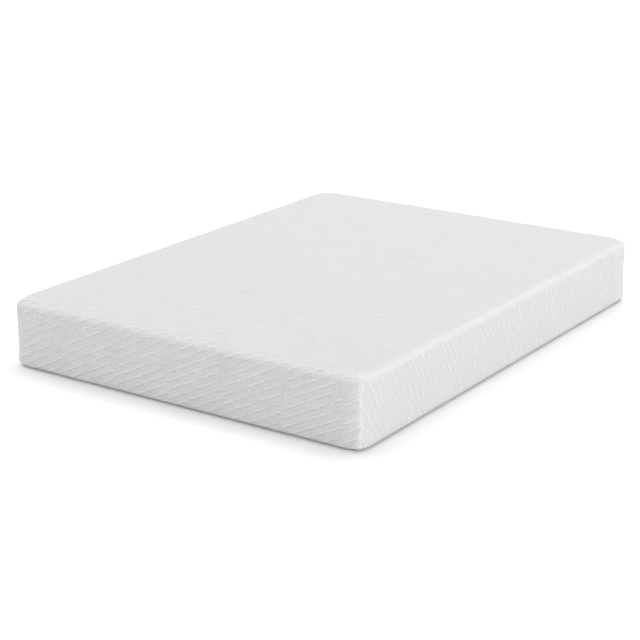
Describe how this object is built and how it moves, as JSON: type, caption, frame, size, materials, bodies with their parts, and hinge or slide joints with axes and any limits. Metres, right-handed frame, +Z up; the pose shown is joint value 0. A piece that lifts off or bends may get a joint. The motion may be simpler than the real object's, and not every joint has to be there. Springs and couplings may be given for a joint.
{
  "type": "memory foam mattress",
  "caption": "Rectangular memory foam mattress with soft rounded edges: layered foam in a fire barrier sock and a white patterned knit cover with a zip across the head end.",
  "frame": {"origin": "middle of the underside, on the surface that the mattress lies on", "axes": "+Y along the length towards the head end, where the zip and the labels are; +X across the width, to the right seen from the foot end; +Z up"},
  "size_m": [1.524, 2.0359, 0.254],
  "materials": {
    "cover_knit": "white jacquard knit with short raised diagonal dashes",
    "base_knit": "plain off-white warp knit",
    "zip_tape": "woven white polyester tape",
    "zip_coil": "white nylon coil",
    "zip_metal": "nickel-plated zinc, satin",
    "barrier_knit": "loose cream tubular knit",
    "memory_foam": "fine-celled slow-recovery foam",
    "transition_foam": "open-celled foam",
    "support_foam": "coarser firm foam",
    "label_cloth": "blank spun-bonded label cloth"
  },
  "bodies": {
    "mattress": {"cover_shell": "cover_knit", "cover_base": "base_knit", "zip_tape_upper": "zip_tape", "zip_tape_lower": "zip_tape", "zip_coil_upper": "zip_coil", "zip_coil_lower": "zip_coil", "zip_bottom_stop": "zip_metal", "zip_top_stop_upper": "zip_metal", "zip_top_stop_lower": "zip_metal", "fire_sock": "barrier_knit", "memory_foam_layer": "memory_foam", "transition_foam_layer": "transition_foam", "support_foam_core": "support_foam"},
    "slider": {"zip_slider": "zip_metal"},
    "pull": {"zip_pull": "zip_metal"},
    "law_label": {"law_label": "label_cloth"},
    "flammability_label": {"flammability_label": "label_cloth"}
  },
  "joints": [
    {"name": "zip_slide", "type": "slide", "parent": "mattress", "child": "slider", "axis": [-1, 0, 0], "range_m": [0, 1.308]},
    {"name": "pull_swing", "type": "hinge", "parent": "slider", "child": "pull", "pos_m": [0.654, 1.01775, 0.042], "axis": [0, 0, -1], "range_deg": [0, 175]},
    {"name": "law_label_lift", "type": "hinge", "parent": "mattress", "child": "law_label", "pos_m": [0.33, 1.01655, 0.188], "axis": [1, 0, 0], "range_deg": [0, 150]},
    {"name": "flammability_label_lift", "type": "hinge", "parent": "mattress", "child": "flammability_label", "pos_m": [0.415, 1.01655, 0.188], "axis": [1, 0, 0], "range_deg": [0, 150]}
  ]
}
